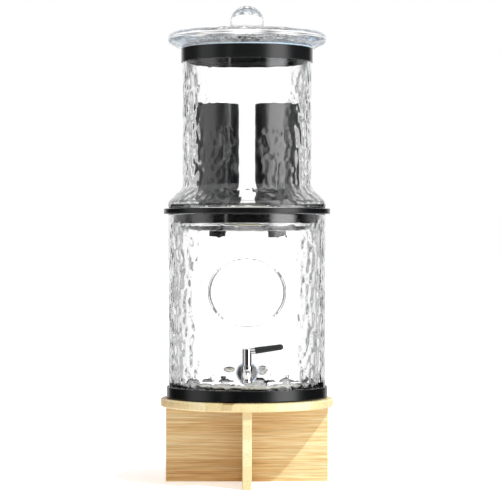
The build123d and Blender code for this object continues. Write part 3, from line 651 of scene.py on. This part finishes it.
# ---------------------------------------------------------------------------------------------
# Studio: pale floor, light and camera
# ---------------------------------------------------------------------------------------------
def studio_world():
    """White cyclorama.  Behind the glass are white panels under a dark ceiling, with dark flags
    between them for what is seen through a whole vessel.  What is mirrored shows a black room with
    soft boxes, a strip light and an overhead.  Matt surfaces are lit from the right, cool there and
    warm on the left."""
    flag_count, flag_shade, panel_strength = 12.0, 0.22, 1.17
    ceiling_shade, ceiling_shade_through_vessel = 0.09, 0.08
    room_in_one_wall, panels_in_glass = 0.45, 0.1

    world = bpy.data.worlds.new("studio")
    scene.world = world
    world.use_nodes = True
    tree = world.node_tree
    tree.nodes.clear()
    path = add(tree, "ShaderNodeLightPath").outputs
    way = add(tree, SEPARATE, add(tree, PLACE).outputs["Generated"]).outputs
    # bearings are measured from -Y, the front, towards +X
    bearing = add(tree, MATH, way["X"], add(tree, MATH, way["Y"], -1.0, operation="MULTIPLY"),
                  operation="ARCTAN2")
    camera_ray, glass_ray = path["Is Camera Ray"], path["Is Transmission Ray"]
    passed = add(tree, MATH, path["Transmission Depth"], 0.5, operation="GREATER_THAN")
    deep = add(tree, MATH, path["Transmission Depth"], 2.5, operation="GREATER_THAN")
    mirrored = add(tree, MATH, path["Glossy Depth"], 0.5, operation="GREATER_THAN")
    twice = add(tree, MATH, path["Glossy Depth"], 1.5, operation="GREATER_THAN")
    scattered = add(tree, MATH, path["Diffuse Depth"], 0.5, operation="GREATER_THAN")

    # flags all round the room, for rays that passed both walls or were mirrored twice
    wave = add(tree, MATH, add(tree, MATH, bearing, flag_count, operation="MULTIPLY"), operation="COSINE")
    flags = add(tree, MAP_RANGE, wave, -0.6, 0.4, flag_shade, 1.0)
    flagged = add(tree, MATH, deep, twice, operation="MAXIMUM")
    flags = add(tree, MIX, flagged, sockets={2: 1.0, 3: flags}, data_type="FLOAT")
    dark = add(tree, MIX, deep, sockets={2: ceiling_shade, 3: ceiling_shade_through_vessel},
               data_type="FLOAT")
    ceiling = add(tree, MAP_RANGE, way["Z"], 0.12, 0.42, 1.0, dark)
    panels = add(tree, MATH, flags, ceiling, operation="MULTIPLY")
    behind_glass = add(tree, MATH, panels, panel_strength, operation="MULTIPLY")

    overhead = add(tree, MATH, add(tree, MAP_RANGE, way["Z"], 0.12, 0.3, 0.02, 1.4),
                   add(tree, MAP_RANGE, way["Z"], 0.85, 0.95, 1.0, 0.1), operation="MULTIPLY")
    lit_floor = add(tree, MAP_RANGE, way["Z"], -0.25, -0.5, 0.02, 1.0)
    room = add(tree, MATH, overhead, lit_floor, operation="MAXIMUM")
    # of each soft box: bearing of its middle, half width and soft edge in degrees, strength
    for middle, half_width, edge, strength in ((56, 18, 6, 4.5), (-74, 18, 7, 1.2), (-31, 2, 1.5, 1.6),
                                               (165, 15, 4, 1.1), (-165, 15, 4, 1.1)):
        off = add(tree, MATH, bearing, math.radians(middle), operation="SUBTRACT")
        off = add(tree, MATH, off, operation="ABSOLUTE")
        box = add(tree, MAP_RANGE, off, math.radians(half_width - edge), math.radians(half_width + edge),
                  strength, 0.0)
        room = add(tree, MATH, room, box, operation="MAXIMUM")

    # a mirrored ray that leaves through glass: from one wall it shows a dimmer room, and from
    # further in the room with a little of the panels
    in_wall = add(tree, MATH, room, room_in_one_wall, operation="MULTIPLY")
    in_glass = add(tree, MATH, behind_glass, panels_in_glass, room, operation="MULTIPLY_ADD")
    within = add(tree, MIX, deep, sockets={2: in_wall, 3: in_glass}, data_type="FLOAT")
    through = add(tree, MIX, mirrored, sockets={2: behind_glass, 3: within}, data_type="FLOAT")
    strength = add(tree, MIX, glass_ray, sockets={2: room, 3: through}, data_type="FLOAT")
    # a ray that a wall mirrored onwards to the back, or that was mirrored twice, was guided by the
    # glass and shows the panels
    to_back = add(tree, MAP_RANGE, way["Y"], 0.0, 0.3, 0.0, 1.0)
    onward = add(tree, MATH, to_back, add(tree, MATH, mirrored, deep, operation="SUBTRACT"),
                 operation="MULTIPLY")
    guided = add(tree, MATH, add(tree, MATH, twice, onward, operation="MAXIMUM"), passed,
                 operation="MULTIPLY")
    strength = add(tree, MIX, guided, sockets={2: strength, 3: behind_glass}, data_type="FLOAT")

    from_right = add(tree, MATH, way["X"], 0.62, 0.60, operation="MULTIPLY_ADD")
    strength = add(tree, MIX, scattered, sockets={2: strength, 3: from_right}, data_type="FLOAT")
    strength = add(tree, MIX, camera_ray, sockets={2: strength, 3: 1.0}, data_type="FLOAT")
    ambient = add(tree, COLOUR_RAMP, add(tree, MAP_RANGE, way["X"], -1.0, 1.0, 0.0, 1.0),
                  stops=[(0.0, "#ffa860"), (0.5, "#fff4e4"), (1.0, "#d2ebff")])
    tint = add(tree, MIX, scattered, sockets={6: srgb("#ffffff"), 7: ambient}, data_type="RGBA")
    add(tree, "ShaderNodeOutputWorld", add(tree, "ShaderNodeBackground", tint.outputs[2], strength))


def pale_floor():
    """Matt white seamless paper under the object, lit from below."""
    side = 30.0  # metres from the object to each edge, out of the camera's sight
    material, tree = new_material("light_table")
    add(tree, SURFACE, add(tree, PRINCIPLED, sockets={
        "Base Color": srgb("#f4f4f4"), "Roughness": 0.9, "Emission Color": srgb("#ffffff"),
        "Emission Strength": 0.55}))
    corners = [(-side, -side, 0), (side, -side, 0), (side, side, 0), (-side, side, 0)]
    mesh = bpy.data.meshes.new("floor")
    mesh.from_pydata(corners, [], [(0, 1, 2, 3)])
    mesh.materials.append(material)
    floor = bpy.data.objects.new("floor", mesh)
    scene.collection.objects.link(floor)
    floor.visible_glossy = False
    floor.visible_transmission = False


def key_sun():
    """Soft key light from the front right, high enough for the plate to shade the boards.  Glass
    and metal don't mirror it."""
    data = bpy.data.lights.new("key", "SUN")
    data.energy = 4.7
    data.color = srgb("#b8e0ff")[:3]
    data.angle = math.radians(2.5)
    lamp = bpy.data.objects.new("key", data)
    lamp.rotation_euler = Vector((0.607, -0.56, 1.0)).to_track_quat("Z", "Y").to_euler()
    lamp.visible_glossy = False
    lamp.visible_transmission = False
    scene.collection.objects.link(lamp)


def product_camera():
    """Level camera in front of the tap, a little below the height of the tank's rim."""
    frame_px = 500
    focal_px, distance, eye_height = 2178.0, 3075.0, 343.0
    axis_px, horizon_px = 247.0, 238.0
    data = bpy.data.cameras.new("camera")
    data.sensor_width = 36.0
    data.lens = data.sensor_width * focal_px / frame_px
    data.shift_x = (frame_px / 2 - axis_px) / frame_px
    data.shift_y = (horizon_px - frame_px / 2) / frame_px
    data.clip_start, data.clip_end = 0.05, 100.0
    camera = bpy.data.objects.new("camera", data)
    camera.location = (0, -distance * MM, eye_height * MM)
    camera.rotation_euler = (math.radians(90), 0, 0)
    scene.collection.objects.link(camera)
    scene.camera = camera


studio_world()
pale_floor()
key_sun()
product_camera()
scene.view_settings.view_transform = "Standard"
# the lid and the foot guide a ray round many bends before it leaves
scene.cycles.max_bounces = 32
scene.cycles.glossy_bounces = 20
scene.cycles.transmission_bounces = 20
scene.cycles.transparent_max_bounces = 16
